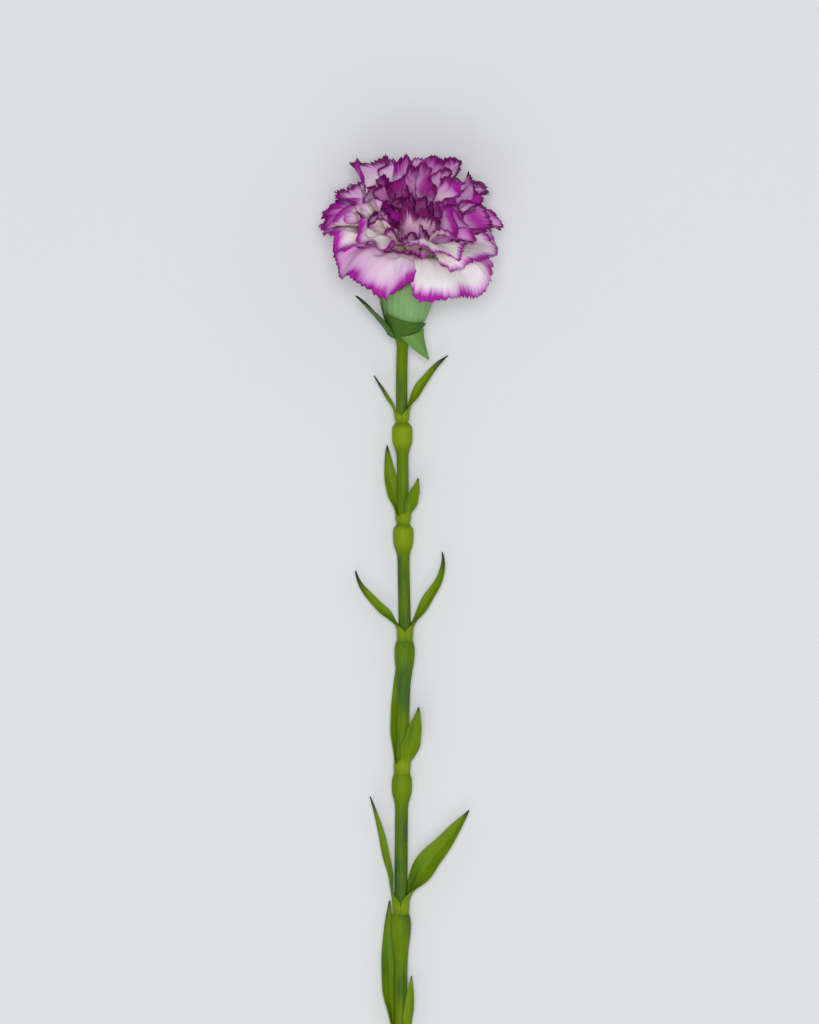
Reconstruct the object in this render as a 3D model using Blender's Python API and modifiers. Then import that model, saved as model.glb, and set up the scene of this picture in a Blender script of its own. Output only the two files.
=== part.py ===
"""A cut carnation lying on its side: jointed stem, six leaf pairs, calyx, bracts and a double bloom.

Metres, +Z up. The flower lies on the plane z = 0 with its stem along Y and its bloom at +Y, and the
origin is below the middle of its box. The bloom has a frame of its own, the empty "head": its Z runs
along the bloom's axis, azimuth 0 points to +X and azimuth 90 degrees points down to the table.
"""

import math

import bmesh
import bpy
import numpy as np
from mathutils import Euler, Matrix, Vector

MM = 0.001
SEAT_GAP = 0.3 * MM                 # clearance between pieces that touch
WELD_DISTANCE = 0.01 * MM           # vertices nearer than this are joined
CURVE_SAMPLES = 97                  # steps along the curves of leaves and petals

# The head: where the stem meets the calyx, and how the bloom's axis leaves the stem's line.
CALYX_SEAT = Vector((-3.6, 131.4, 16.5)) * MM
HEAD_RISE = math.radians(28)        # above the table
HEAD_SWING = math.radians(4.5)      # to the right

# The stem, from its cut end: (distance below the calyx, offset to the right, height), in mm.
STEM_ROUTE = (
    (331, -0.4, 2.7),
    (271, -0.8, 4.9),
    (213, -0.8, 5.8),
    (175, -0.5, 6.3),
    (138, 0.2, 7.0),
    (115, 0.7, 7.4),
    (85, 0.2, 8.0),
    (62, 0.0, 8.5),
    (38, -0.3, 9.1),
    (24, -0.5, 10.1),
    (11, -0.4, 12.4),
)
STEM_LENGTH = 331 * MM
STEM_RADIUS_TOP = 2.15 * MM
STEM_RADIUS_END = 2.7 * MM
NODE_DISTANCES = (37.8, 76.0, 119.5, 169.7, 222.6, 272.5)     # swollen nodes below the calyx, in mm
NODE_RADIUS = 4.0 * MM
NODE_HALF_LENGTH = 4.0 * MM
NODE_STEEPNESS = 4                  # how abruptly the stem swells at a node
RECEPTACLE_RADIUS = 4.3 * MM        # the stem's flat top, on which the petals stand
RECEPTACLE_HEIGHT = 2.6 * MM
FLARE_LENGTH = 6.0 * MM             # stretch below the calyx over which the stem widens
FLARE_STEEPNESS = 1.5
AXIS_LEAD = 12 * MM                 # the route's last point lies this far along the bloom's axis

# Rings of the stem's tube, in mm: about each node, evenly between two nodes, and in the flare.
NODE_RINGS = (-6, -4.6, -3.4, -2, 0, 2, 3.4, 4.6, 6)
FLARE_RINGS = (-1.3, 1.5, 3.0, 5.0)
RINGS_BETWEEN = 4
RING_MARGIN = 7                     # the even rings keep this far from a node
ROUNDING = 4                        # steps in each quarter of the stem's section

# Leaves. A pair is (turn of its first leaf about the stem, first leaf, second leaf), and a leaf is
# (length, width, lean from the stem at its base, middle and tip, swing about the stem, twist), in mm and
# degrees.
SHEATH_START = 4.2 * MM             # the sheath's lower edge above the middle of its node
SHEATH_LENGTH = 3.2 * MM
SHEATH_GAP = 0.8 * MM               # room for the flats of the stem and the sheath
LEAF_THICKNESS = 0.5 * MM
SHEATH_SHARE = 0.22                 # share of a leaf's rows that its half of the sheath takes
ROW_CROWDING = 1.15                 # rows stand a little closer together near the sheath
BLADE_START = 0.14                  # share of the length over which the sheath opens to the blade
CHANNEL_START = 0.16                # the same for the curve across it
CHANNEL_BEND = math.radians(32)     # half angle of the blade's channel
LEAF_BASE_WIDTH = 0.6               # blade width next to the sheath, as a share of the full width
LEAF_WIDEST = 0.35                  # share of the length at which the blade is widest
LEAF_TAPER = 2.4
LEAF_TIP_HALF_WIDTH = 0.25 * MM
LEAF_BEND_RUN = 5 * MM              # stretch over which a leaf turns away from the stem
LEAF_MIDDLE = 0.55                  # share of the length at which the middle lean is reached
TIP_CURVE = 1.4                     # a leaf's tip turns mostly at its very end
SWING_RATE = 1.6                    # the swing is full at 1 / 1.6 of the length
TWIST_RATE = 1.3
LEAF_COLUMNS = 4
LEAF_ROWS = 9
LEAF_PAIRS = (
    (0, (28, 4.2, 20, 36, 55, 4, 65), (17.5, 2.6, 28, 31, 30, 4, 50)),
    (45, (17, 5.4, 42, 34, 14, 10, -35), (27.5, 6.0, 16, 8, 3, -22, -65)),
    (0, (33.5, 5.0, 27, 31, -16, 3, 60), (29, 4.2, 42, 46, 12, 6, -60)),
    (50, (24, 7.6, 26, 22, 10, 5, -36), (41, 6.4, 4, 1, -2, 5, -35)),
    (0, (43.5, 9.5, 20, 39, 34, 4, 62), (42.5, 4.4, 7, 12, 20, -4, 55)),
    (35, (24, 4.6, 8, 5, 4, 0, -40), (52, 8.0, 9, 2, -5, 0, -55)),
)

# Calyx: outline of its inner wall as (height above its seat, radius), in mm, below five teeth.
CALYX_OUTLINE = ((0.7, 4.3), (2.6, 5.1), (4.8, 6.2), (9.0, 7.9), (14.0, 9.2), (19.0, 9.8), (31.0, 9.9))
CALYX_WALL = 0.7 * MM
CALYX_RIM = 24.0 * MM               # height of the notches between the teeth
TOOTH_COUNT = 5
TOOTH_LENGTH = 4.0 * MM
TOOTH_SHARPNESS = 1.5
CALYX_COLUMNS = 30
CALYX_ROWS = 7

# Bracts on the calyx: (name, azimuth, half width in degrees, base and tip height, tip stand-off on the
# left and on the right, slant, taper, tip width), in mm. A low taper gives a pointed bract and a high one
# a broad, blunt band, the slant raises its left end, and the tip width is a share of the base's.
BRACTS = (
    ("bract_left", -171, 31, 0.9, 17.0, 7.0, 3.0, 0.0, 1.3, 0.06),
    ("bract_front", -80, 58, 0.9, 10.2, 0.3, 0.5, 2.0, 3.0, 0.62),
    ("bract_back", 80, 60, 0.9, 12.0, 0.8, 0.8, 0.0, 1.6, 0.06),
)
BRACT_THICKNESS = 0.5 * MM
BRACT_LIFT_SHAPE = 2.5              # a bract stands off the calyx mostly at its tip
BRACT_COLUMNS = 12
BRACT_ROWS = 7
BRACT_ROW_CROWDING = 1.5            # rows stand closer together towards the tip

# The bract that hangs down: its middle azimuth, half width, height and radius, at its base and its tip.
HANGING_AZIMUTHS = (-61, -33)       # degrees
HANGING_HALF_WIDTHS = (38, 2)       # degrees
HANGING_HEIGHTS = (4.0 * MM, -6.0 * MM)
HANGING_SLOPE = 1.5 * MM            # its base runs this much higher on the right, and lower on the left
HANGING_TIP_RADIUS = 12.4 * MM
HANGING_CLEARANCE = 1.5 * MM        # of its base from the calyx's outer face, over the front bract
HANGING_NARROWING = 1.3
HANGING_COLUMNS = 8
HANGING_ROWS = 6

# Petals, counted from the heart outwards. Each turns on from the one outside it by the golden angle.
PETAL_COUNT = 44
GOLDEN_ANGLE = 180 * (3 - math.sqrt(5))     # in degrees
LAST_AZIMUTH = -50                  # of the outermost petal, in degrees
SPREADS = (52, 39)                  # degrees that a limb opens to each side, heart and outer petals
LIMB_LENGTHS = (29 * MM, 37.5 * MM)     # heart and outer petals
LIMB_TILT = 6 * MM                  # limbs on the table side are longer by this, the others shorter
TILT_FADE = 4                       # and the outermost petals are free of it
HEART_SHARE = 0.5                   # above this level all petals have the outer ones' spread and length
# Changes to single limbs, in mm, by index from the heart, where the first petal is 0.
LIMB_CHANGES = {
    12: -5.0, 16: -1.5, 18: 3.0, 20: -7.0, 21: -2.0, 23: -1.0, 24: -1.0, 25: -8.0, 26: -1.5,
    31: -3.4, 32: -1.5, 33: -10.0, 34: 0.5, 35: -0.9, 36: -3.6, 37: 0.4, 38: -16.0, 39: 1.0,
    40: -5.2, 41: -1.3, 42: -1.8, 43: -1.0,
}
# How much further, in mm, a limb reaches on its right than in its middle, and less on its left.
LIMB_SLANTS = {13: 3.0, 21: 3.0, 24: 2.0, 26: -3.0, 39: -4.0, 40: 1.5, 41: 5.0, 43: -3.0}
PETAL_THICKNESS = 0.4 * MM
CLAW_LENGTH = 27.5 * MM             # from the receptacle to the calyx mouth
CLAW_HALF_WIDTH = 1.0 * MM
CLAW_HALF_ANGLE = math.radians(13)
CLAW_BASE_RADII = (0.8 * MM, 4.0 * MM)      # heart and outermost petal, on the receptacle
CLAW_MOUTH_RADII = (1.5 * MM, 8.9 * MM)     # the same at the calyx mouth
LEAN_HEART = math.radians(7)
LEAN_OUTER = math.radians(166)
LEAN_RUN = 37 * MM                  # stretch of limb over which a petal takes that lean
LEVEL_SHAPE = 0.9                   # petals stand a little further apart in the heart
LEAN_GROWTH = 1.5                   # the lean grows slowly in the heart and fast outside
WIDENING_RUN = 0.34                 # share of the limb over which it opens to its full spread
CORNER_DROP = 0.2                   # how far a limb's corners fall short of its middle
CORNER_SHAPE = 3                    # how suddenly they do
PETAL_COLUMNS = 6
PETAL_ROWS = 6
CLAW_ROWS = 1 / PETAL_ROWS          # share of a petal's rows that its claw takes
LONGEST_LIMB = 48 * MM              # a petal's meridian is worked out this far

# The way a sheet thickens from the surface that its place function lays out.
OUTWARD = 1.0
INWARD = -1.0
BOTH_WAYS = 0.0


def smooth(value):
    """Ease a value from 0 to 1 with level ends."""
    value = np.clip(value, 0.0, 1.0)
    return value * value * (3.0 - 2.0 * value)


def mix(low, high, share):
    return low + (high - low) * share


# ---------------------------------------------------------------- frames and the stem's line

def head_rotation():
    """Turns the row's axes into the bloom's: X to the right, Y towards the table, Z along the bloom."""
    return Euler((HEAD_RISE - math.pi / 2, 0.0, -HEAD_SWING), "XYZ")


def stem_points():
    """The stem's route as row-frame points, cut end first, with one point on along the bloom's axis."""
    points = [
        Vector((CALYX_SEAT.x + right * MM, CALYX_SEAT.y - below * MM, height * MM))
        for below, right, height in STEM_ROUTE
    ]
    points.append(CALYX_SEAT.copy())
    points.append(CALYX_SEAT + head_rotation().to_matrix() @ Vector((0.0, 0.0, AXIS_LEAD)))
    return points


def stem_axis(below):
    """Point on the stem's axis at a distance below the calyx, on a smooth curve through the route."""
    if below <= 0.0:
        return CALYX_SEAT + head_rotation().to_matrix() @ Vector((0.0, 0.0, -below))
    points = stem_points()
    knots = [CALYX_SEAT.y - point.y for point in points]
    index = next(i for i in range(len(points) - 2) if knots[i + 1] <= below)
    before = points[max(index - 1, 0)]
    start, end = points[index], points[index + 1]
    after = points[index + 2]
    span = knots[index + 1] - knots[index]
    share = (below - knots[index]) / span
    start_slope = (end - before) / (knots[index + 1] - knots[max(index - 1, 0)]) * span
    end_slope = (after - start) / (knots[index + 2] - knots[index]) * span
    square, cube = share ** 2, share ** 3
    return (
        start * (2 * cube - 3 * square + 1)
        + start_slope * (cube - 2 * square + share)
        + end * (3 * square - 2 * cube)
        + end_slope * (cube - square)
    )


def stem_radius(below):
    """Radius of the stem: a slow taper, a swelling at each node and the flare below the calyx."""
    radius = mix(STEM_RADIUS_TOP, STEM_RADIUS_END, max(below, 0.0) / STEM_LENGTH)
    swelling = sum(
        math.exp(-abs((below - node * MM) / NODE_HALF_LENGTH) ** NODE_STEEPNESS)
        for node in NODE_DISTANCES
    )
    flare = smooth((FLARE_LENGTH - below) / (FLARE_LENGTH + RECEPTACLE_HEIGHT)) ** FLARE_STEEPNESS
    return radius + (NODE_RADIUS - radius) * swelling + (RECEPTACLE_RADIUS - radius) * float(flare)


# ---------------------------------------------------------------- building helpers

def make_material(name, colour, roughness):
    material = bpy.data.materials.new(name)
    material.use_nodes = True
    shader = material.node_tree.nodes["Principled BSDF"]
    shader.inputs["Base Color"].default_value = (*colour, 1.0)
    shader.inputs["Roughness"].default_value = roughness
    material.diffuse_color = (*colour, 1.0)
    return material


def make_sheet(name, material, parts, columns, rows, thickness, offset, collection):
    """A thin closed piece from grids that place functions lay out, welded where their edges meet.

    Each place function takes two numbers from 0 to 1, across and along, and returns a point.
    """
    shape = bmesh.new()
    for place in parts:
        grid = bmesh.ops.create_grid(shape, x_segments=columns, y_segments=rows, size=1.0)
        for vertex in grid["verts"]:
            vertex.co = place((vertex.co.x + 1.0) / 2.0, (vertex.co.y + 1.0) / 2.0)
    bmesh.ops.remove_doubles(shape, verts=shape.verts, dist=WELD_DISTANCE)
    mesh = bpy.data.meshes.new(name)
    shape.to_mesh(mesh)
    shape.free()
    mesh.shade_smooth()
    mesh.materials.append(material)
    piece = bpy.data.objects.new(name, mesh)
    collection.objects.link(piece)
    shell = piece.modifiers.new("thickness", "SOLIDIFY")
    shell.thickness = thickness
    shell.offset = offset
    shell.use_even_offset = False
    return piece


# ---------------------------------------------------------------- stem

def stem_stations():
    """Distances below the calyx at which the stem's tube has a ring, close together at its nodes."""
    stations = {STEM_LENGTH, -RECEPTACLE_HEIGHT, 0.0}
    for node in NODE_DISTANCES:
        stations.update((node + step) * MM for step in NODE_RINGS)
    ends = (0.0, *NODE_DISTANCES, STEM_LENGTH / MM)
    for start, end in zip(ends, ends[1:]):
        between = np.linspace(start + RING_MARGIN, end - RING_MARGIN, RINGS_BETWEEN)
        stations.update(value * MM for value in between)
    stations.update(value * MM for value in FLARE_RINGS)
    return sorted((value for value in stations if value <= STEM_LENGTH), reverse=True)


def build_stem(material, collection):
    curve = bpy.data.curves.new("stem", "CURVE")
    curve.dimensions = "3D"
    curve.bevel_depth = 1.0
    curve.bevel_resolution = ROUNDING
    curve.use_fill_caps = True
    stations = stem_stations()
    spline = curve.splines.new("POLY")
    spline.points.add(len(stations) - 1)
    for point, below in zip(spline.points, stations):
        point.co = (*stem_axis(below), 1.0)
        point.radius = stem_radius(below)
    curve.materials.append(material)
    stem = bpy.data.objects.new("stem", curve)
    collection.objects.link(stem)
    return stem


# ---------------------------------------------------------------- leaves

def leaf_centre_line(leaf, base_radius):
    """Runs, distances along the stem and distances out from its axis, from the sheath's end."""
    length = leaf[0] * MM
    lean_base, lean_middle, lean_tip = (math.radians(lean) for lean in leaf[2:5])
    runs = np.linspace(0.0, length, CURVE_SAMPLES)
    leans = mix(lean_base, lean_middle, smooth(runs / (length * LEAF_MIDDLE)))
    past_middle = np.clip((runs / length - LEAF_MIDDLE) / (1.0 - LEAF_MIDDLE), 0.0, 1.0)
    leans += (lean_tip - lean_middle) * past_middle ** TIP_CURVE
    leans *= smooth(runs / LEAF_BEND_RUN)
    steps = np.diff(runs, prepend=0.0)
    along = np.cumsum(np.cos(leans) * steps)
    out = base_radius + np.cumsum(np.sin(leans) * steps)
    return runs, leans, along, out


def leaf_half_arc(share, half_width, sheath_arc):
    """Half of the blade's width, measured round its channel."""
    widening = mix(LEAF_BASE_WIDTH, 1.0, float(smooth(share / LEAF_WIDEST)))
    blade = max(half_width * (1.0 - share ** LEAF_TAPER) * widening, LEAF_TIP_HALF_WIDTH)
    return mix(sheath_arc, blade, float(smooth(share / BLADE_START)))


def leaf_placer(leaf, turn, node_below):
    """The place function of one leaf, in its pair's frame: Y up the stem, X right and Z up."""
    length, width, _, _, _, swing, twist = leaf
    sheath_top = SHEATH_START + SHEATH_LENGTH
    top_radius = stem_radius(node_below - sheath_top) + SHEATH_GAP
    runs, leans, along, out = leaf_centre_line(leaf, top_radius)

    def place(across, up):
        side = across * 2.0 - 1.0
        if up <= SHEATH_SHARE:
            height = SHEATH_START + SHEATH_LENGTH * up / SHEATH_SHARE
            radius = stem_radius(node_below - height) + SHEATH_GAP
            angle = turn + side * math.pi / 2
            return Vector((radius * math.cos(angle), height, radius * math.sin(angle)))
        share = ((up - SHEATH_SHARE) / (1.0 - SHEATH_SHARE)) ** ROW_CROWDING
        run = share * length * MM
        lean = float(np.interp(run, runs, leans))
        half_arc = leaf_half_arc(share, width * MM / 2, top_radius * math.pi / 2)
        bend = mix(math.pi / 2, CHANNEL_BEND, float(smooth(share / CHANNEL_START)))
        ring = half_arc / bend
        azimuth = turn + math.radians(swing) * float(smooth(share * SWING_RATE))
        turned = math.radians(twist) * float(smooth(share * TWIST_RATE))
        radial = Vector((math.cos(azimuth), 0.0, math.sin(azimuth)))
        sideways = Vector((-math.sin(azimuth), 0.0, math.cos(azimuth)))
        stem_way = Vector((0.0, 1.0, 0.0))
        centre = stem_way * (sheath_top + float(np.interp(run, runs, along)))
        centre += radial * float(np.interp(run, runs, out))
        outward = radial * math.cos(lean) - stem_way * math.sin(lean)
        blade_side = sideways * math.cos(turned) + outward * math.sin(turned)
        blade_out = outward * math.cos(turned) - sideways * math.sin(turned)
        drop = ring * (1.0 - math.cos(side * bend))
        return centre + blade_side * ring * math.sin(side * bend) - blade_out * drop

    return place


def build_leaf_pair(index, pair, material, collection):
    turn, first, second = pair
    below = NODE_DISTANCES[index] * MM
    parts = (
        leaf_placer(first, math.radians(turn), below),
        leaf_placer(second, math.radians(turn + 180), below),
    )
    name = f"leaf_pair_{index + 1}"
    columns, rows = LEAF_COLUMNS, LEAF_ROWS
    leaves = make_sheet(name, material, parts, columns, rows, LEAF_THICKNESS, INWARD, collection)
    above_node, below_node = below - NODE_HALF_LENGTH, below + NODE_HALF_LENGTH
    upward = (stem_axis(above_node) - stem_axis(below_node)).normalized()
    right = upward.cross(Vector((0.0, 0.0, 1.0))).normalized()
    frame = Matrix((right, upward, right.cross(upward))).transposed().to_4x4()
    frame.translation = stem_axis(below)
    leaves.matrix_world = frame
    return leaves


# ---------------------------------------------------------------- calyx and bracts

def calyx_radius(height):
    """Inner radius of the calyx at a height above its seat."""
    heights = [row[0] * MM for row in CALYX_OUTLINE]
    radii = [row[1] * MM for row in CALYX_OUTLINE]
    return float(np.interp(height, heights, radii))


def around(radius, azimuth, height):
    return Vector((radius * math.cos(azimuth), radius * math.sin(azimuth), height))


def build_calyx(material, head, collection):
    base = CALYX_OUTLINE[0][0] * MM

    def place(across, up):
        azimuth = across * math.tau
        tooth = (0.5 + 0.5 * math.cos(azimuth * TOOTH_COUNT)) ** TOOTH_SHARPNESS
        height = mix(base, CALYX_RIM + TOOTH_LENGTH * tooth, up)
        return around(calyx_radius(height), azimuth, height)

    columns, rows = CALYX_COLUMNS, CALYX_ROWS
    calyx = make_sheet("calyx", material, (place,), columns, rows, CALYX_WALL, OUTWARD, collection)
    calyx.parent = head
    return calyx


def build_bract(bract, material, head, collection):
    name, azimuth, half_width, base, tip, left_lift, right_lift, slant, taper, tip_width = bract

    def place(across, up):
        side = across * 2.0 - 1.0
        up = 1.0 - (1.0 - min(up, 1.0)) ** BRACT_ROW_CROWDING
        height = (mix(base, tip, up) - slant * side * up) * MM
        narrowing = mix(tip_width, 1.0, math.sqrt(1.0 - up ** taper))
        angle = math.radians(azimuth + half_width * side * narrowing)
        lift = mix(left_lift, right_lift, (1.0 + side * narrowing) / 2.0) * MM * up ** BRACT_LIFT_SHAPE
        radius = calyx_radius(height) + CALYX_WALL + SEAT_GAP + lift
        return around(radius, angle, height)

    columns, rows = BRACT_COLUMNS, BRACT_ROWS
    scale = make_sheet(name, material, (place,), columns, rows, BRACT_THICKNESS, OUTWARD, collection)
    scale.parent = head
    return scale


def build_hanging_bract(material, head, collection):
    """The bract that has folded down over the front of the calyx's base."""

    def place(across, up):
        side = across * 2.0 - 1.0
        base_height = HANGING_HEIGHTS[0] + HANGING_SLOPE * side
        base_radius = calyx_radius(base_height) + CALYX_WALL + HANGING_CLEARANCE
        azimuth = mix(*HANGING_AZIMUTHS, up) + side * mix(*HANGING_HALF_WIDTHS, up ** HANGING_NARROWING)
        radius = mix(base_radius, HANGING_TIP_RADIUS, up)
        return around(radius, math.radians(azimuth), mix(base_height, HANGING_HEIGHTS[1], up))

    name = "bract_hanging"
    columns, rows = HANGING_COLUMNS, HANGING_ROWS
    scale = make_sheet(name, material, (place,), columns, rows, BRACT_THICKNESS, OUTWARD, collection)
    scale.parent = head
    return scale


# ---------------------------------------------------------------- petals

def petal_plan(index):
    """Level from the heart, 0, to the outermost petal, 1, with azimuth and spread in degrees, and limb."""
    level = (index / (PETAL_COUNT - 1)) ** LEVEL_SHAPE
    azimuth = LAST_AZIMUTH + GOLDEN_ANGLE * (PETAL_COUNT - 1 - index)
    opening = float(smooth(level / HEART_SHARE))
    tilt = LIMB_TILT * math.sin(math.radians(azimuth)) * (1.0 - level ** TILT_FADE)
    limb = mix(*LIMB_LENGTHS, opening) + tilt + LIMB_CHANGES.get(index, 0.0) * MM
    return level, azimuth, mix(*SPREADS, opening), limb


def petal_meridian(level):
    """Runs from the calyx mouth, and the radius and height of a petal's limb there."""
    base_radius = mix(*CLAW_BASE_RADII, level)
    mouth_radius = mix(*CLAW_MOUTH_RADII, level)
    claw_lean = math.atan((mouth_radius - base_radius) / CLAW_LENGTH)
    full_lean = mix(LEAN_HEART, LEAN_OUTER, level ** LEAN_GROWTH)
    runs = np.linspace(0.0, LONGEST_LIMB, CURVE_SAMPLES)
    leans = claw_lean + (full_lean - claw_lean) * runs / LEAN_RUN
    steps = np.diff(runs, prepend=0.0)
    radii = mouth_radius + np.cumsum(np.sin(leans) * steps)
    heights = CLAW_LENGTH * math.cos(claw_lean) + np.cumsum(np.cos(leans) * steps)
    return runs, radii, heights


def build_petal(index, material, head, collection):
    level, azimuth, spread, limb = petal_plan(index)
    slant = LIMB_SLANTS.get(index, 0.0) * MM
    runs, radii, heights = petal_meridian(level)
    seat = RECEPTACLE_HEIGHT + SEAT_GAP

    def place(across, up):
        side = across * 2.0 - 1.0
        if up <= CLAW_ROWS:
            share = up / CLAW_ROWS
            radius = mix(mix(*CLAW_BASE_RADII, level), radii[0], share)
            half = min(CLAW_HALF_WIDTH / radius, CLAW_HALF_ANGLE)
            return around(radius, math.radians(azimuth) + side * half, seat + heights[0] * share)
        share = (up - CLAW_ROWS) / (1.0 - CLAW_ROWS)
        run = share * limb * (1.0 - CORNER_DROP * abs(side) ** CORNER_SHAPE * share)
        run += slant * side * share ** 2
        claw_half = math.degrees(min(CLAW_HALF_WIDTH / radii[0], CLAW_HALF_ANGLE))
        half = mix(claw_half, spread, float(smooth(run / (limb * WIDENING_RUN))))
        radius = float(np.interp(run, runs, radii))
        height = float(np.interp(run, runs, heights))
        return around(radius, math.radians(azimuth + side * half), seat + height)

    name = f"petal_{index + 1:02d}"
    columns, rows = PETAL_COLUMNS, PETAL_ROWS
    petal = make_sheet(name, material, (place,), columns, rows, PETAL_THICKNESS, BOTH_WAYS, collection)
    petal.parent = head
    return petal


def main():
    for old in list(bpy.data.objects):
        bpy.data.objects.remove(old, do_unlink=True)
    collection = bpy.data.collections.new("carnation")
    bpy.context.scene.collection.children.link(collection)
    head = bpy.data.objects.new("head", None)
    collection.objects.link(head)
    head.location = CALYX_SEAT
    head.rotation_euler = head_rotation()

    stem_green = make_material("stem", (0.18, 0.30, 0.03), 0.4)
    leaf_green = make_material("leaf", (0.15, 0.30, 0.03), 0.45)
    calyx_green = make_material("calyx", (0.19, 0.36, 0.12), 0.6)
    bract_green = make_material("bract", (0.08, 0.18, 0.03), 0.6)
    petal_white = make_material("petal", (0.80, 0.62, 0.76), 0.7)

    build_stem(stem_green, collection)
    for index, pair in enumerate(LEAF_PAIRS):
        build_leaf_pair(index, pair, leaf_green, collection)
    build_calyx(calyx_green, head, collection)
    for bract in BRACTS:
        build_bract(bract, bract_green, head, collection)
    build_hanging_bract(bract_green, head, collection)
    for index in range(PETAL_COUNT):
        build_petal(index, petal_white, head, collection)


main()
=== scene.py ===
"""Looks of the cut carnation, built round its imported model. Metres, +Z up, the same frame as the model.

The bloom is laid out in the head's frame: its Z runs along the bloom's axis, azimuth 0 points to +X and
azimuth 90 degrees points down to the table. A petal is a sheet over (azimuth, run), where the run is the
way along it from the calyx mouth. Its level says how far out it stands, from 0 at the heart to 1 outside.
"""

import math

import bpy
import numpy as np
from mathutils import Euler, Matrix, Vector


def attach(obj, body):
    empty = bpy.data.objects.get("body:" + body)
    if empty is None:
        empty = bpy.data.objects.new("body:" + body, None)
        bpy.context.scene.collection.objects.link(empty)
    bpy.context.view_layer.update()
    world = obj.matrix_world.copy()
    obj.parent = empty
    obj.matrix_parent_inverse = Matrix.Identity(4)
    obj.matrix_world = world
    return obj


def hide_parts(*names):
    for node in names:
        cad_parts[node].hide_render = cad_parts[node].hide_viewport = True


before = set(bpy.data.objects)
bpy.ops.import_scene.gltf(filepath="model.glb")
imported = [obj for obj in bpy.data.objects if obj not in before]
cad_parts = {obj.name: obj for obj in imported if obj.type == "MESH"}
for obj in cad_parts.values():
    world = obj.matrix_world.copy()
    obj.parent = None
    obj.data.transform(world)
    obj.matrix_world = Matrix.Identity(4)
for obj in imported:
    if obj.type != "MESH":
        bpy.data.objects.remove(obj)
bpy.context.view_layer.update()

MM = 0.001

# The head and the stem's route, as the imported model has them.
CALYX_SEAT = Vector((-3.6, 131.4, 16.5)) * MM
HEAD_RISE = math.radians(28)
HEAD_SWING = math.radians(4.5)
STEM_ROUTE = (  # (distance below the calyx, offset to the right, height), in mm
    (331, -0.4, 2.7), (271, -0.8, 4.9), (213, -0.8, 5.8), (175, -0.5, 6.3),
    (138, 0.2, 7), (115, 0.7, 7.4), (85, 0.2, 8), (62, 0, 8.5),
    (38, -0.3, 9.1), (24, -0.5, 10.1), (11, -0.4, 12.4),
)
AXIS_LEAD = 12 * MM
STEM_LENGTH = 331 * MM
STEM_RADIUS_TOP = 2.15 * MM
STEM_RADIUS_END = 2.7 * MM
NODE_DISTANCES = (37.8, 76, 119.5, 169.7, 222.6, 272.5)  # below the calyx, in mm
NODE_RADIUS = 3.9 * MM
NODE_HALF_LENGTH = 4 * MM  # reach over which a node's direction is taken
AXIS_STEP = 1 * MM  # the same for any other place on the stem
# Stretches of the stem that are deep blue-green: (middle below the calyx and reach in mm, strength).
DEEP_STRETCHES = ((133, 9, 0.85), (197, 17, 0.6), (60, 9, 0.35), (100, 10, 0.3))
# Shape of each node: (reach above, reach below in mm, steepness above, steepness below, paleness).
NODE_SHAPES = (
    (4.4, 5.2, 8, 3, 0.9), (4.4, 5.2, 8, 3, 0.8), (5, 8.5, 3, 2, 0.15),
    (5, 5.5, 3, 3, 0.35), (5, 8.5, 3, 2, 0.15), (4.4, 5.2, 8, 3, 0.6),
)
RECEPTACLE_RADIUS = 4.3 * MM
RECEPTACLE_HEIGHT = 2.6 * MM
FLARE_LENGTH = 6 * MM
FLARE_STEEPNESS = 1.5
STEM_RING_STEP = 1 * MM
STEM_SIDES = 36
STEM_RIBS = 7
STEM_RIB_DEPTH = 0.012  # share of the stem's radius
STEM_RIB_TWIST = 40  # radians a metre
DEEP_EDGE = 4  # steepness of a deep stretch's ends
# Rings that close the stem, each as a share of the one before it.
CUT_END_RINGS = (0.94, 0.55, 0.02)
TOP_RINGS = (0.6, 0.02)
END_PALENESS = 0.8
STEM_SEED = 1

# Leaves: (turn of the first leaf, first leaf, second leaf), a leaf being (length, width, lean from the
# stem at base, middle and tip, swing about the stem, twist), in mm and degrees. Three leaves of the first
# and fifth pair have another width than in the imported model, and the broadest has another twist too.
LEAF_PAIRS = (
    (0, (28, 4.2, 20, 36, 55, 4, 65), (17.5, 1.9, 28, 31, 30, 4, 50)),
    (45, (17, 5.4, 42, 34, 14, 10, -35), (27.5, 6, 16, 8, 3, -22, -65)),
    (0, (33.5, 5, 27, 31, -16, 3, 60), (29, 4.2, 42, 46, 12, 6, -60)),
    (50, (24, 7.6, 26, 22, 10, 5, -36), (41, 6.4, 4, 1, -2, 5, -35)),
    (0, (43.5, 10.5, 20, 39, 34, 4, 70), (42.5, 4, 7, 12, 20, -4, 55)),
    (35, (24, 4.6, 8, 5, 4, 0, -40), (52, 8, 9, 2, -5, 0, -55)),
)
SHEATH_START = 4.2 * MM
SHEATH_LENGTH = 3.2 * MM
SHEATH_GAP = 0.3 * MM
SHEATH_ROOT = 0.45 * MM  # depth in the stem from which a sheath grows out
SHEATH_SHARE = 0.14  # share of a leaf's rows that its half of the sheath takes
SHEATH_PALENESS = (0.1, 0.6)  # at its root and at its upper edge
PALE_REACH = 0.22  # share of the blade over which that fades
LEAF_THICKNESS = 0.4 * MM
LEAF_COLUMNS = 20
LEAF_ROWS = 72
ROW_CROWDING = 1.1
BLADE_START = 0.14
CHANNEL_START = 0.16
CHANNEL_BEND = math.radians(32)
LEAF_BASE_WIDTH = 0.6
LEAF_WIDEST = 0.35
LEAF_TAPER = 2.4
LEAF_TIP_HALF_WIDTH = 0.08 * MM
LEAF_BEND_RUN = 5 * MM
LEAF_MIDDLE = 0.55
TIP_CURVE = 1.4
SWING_RATE = 1.6
TWIST_RATES = (1.3, 2.4)  # for a leaf along the stem, and for one that leans well out
OPEN_LEAN = 30  # degrees
MIDRIB_HEIGHT = 0.25 * MM
MIDRIB_WIDTH = 0.12  # share of the half blade
MIDRIB_START = 0.2  # share of the blade over which it rises
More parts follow.
